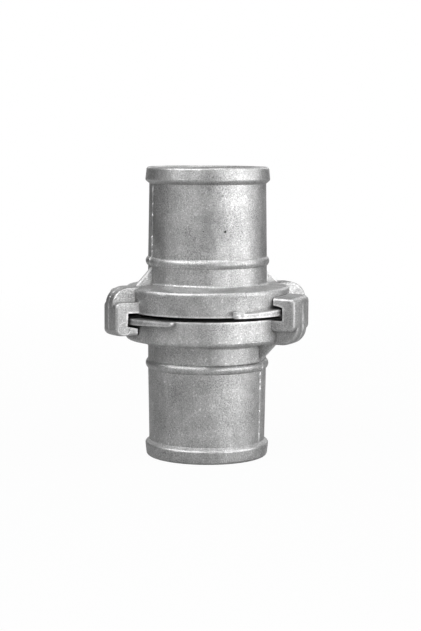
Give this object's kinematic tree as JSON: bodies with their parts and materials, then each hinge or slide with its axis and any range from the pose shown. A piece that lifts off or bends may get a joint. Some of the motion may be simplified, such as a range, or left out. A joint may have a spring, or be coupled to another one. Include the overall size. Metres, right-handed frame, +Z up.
{
  "type": "quarter turn fire hose coupling",
  "caption": "Cast coupling halves with plain hose tails; claws on each half hook over ledges on the other and lock with a quarter turn, and rubber gaskets meet face to face.",
  "frame": {"origin": "centre of the joint plane, on the axis of the waterway", "axes": "+Z up along the waterway through the upper half; -Y is the front, with one hook of each half on its two sides"},
  "size_m": [0.1092, 0.0912, 0.157],
  "materials": {
    "cast_aluminium": "as cast and tumbled, matt grey",
    "seal_rubber": "moulded, matt black"
  },
  "bodies": {
    "lower_half": {"lower_casting": "cast_aluminium", "lower_gasket": "seal_rubber"},
    "upper_half": {"upper_casting": "cast_aluminium", "upper_gasket": "seal_rubber"}
  },
  "joints": [
    {"name": "quarter_turn", "type": "hinge", "parent": "lower_half", "child": "upper_half", "pos_m": [0, 0, 0], "axis": [0, 0, 1], "range_deg": [0, 90]}
  ]
}
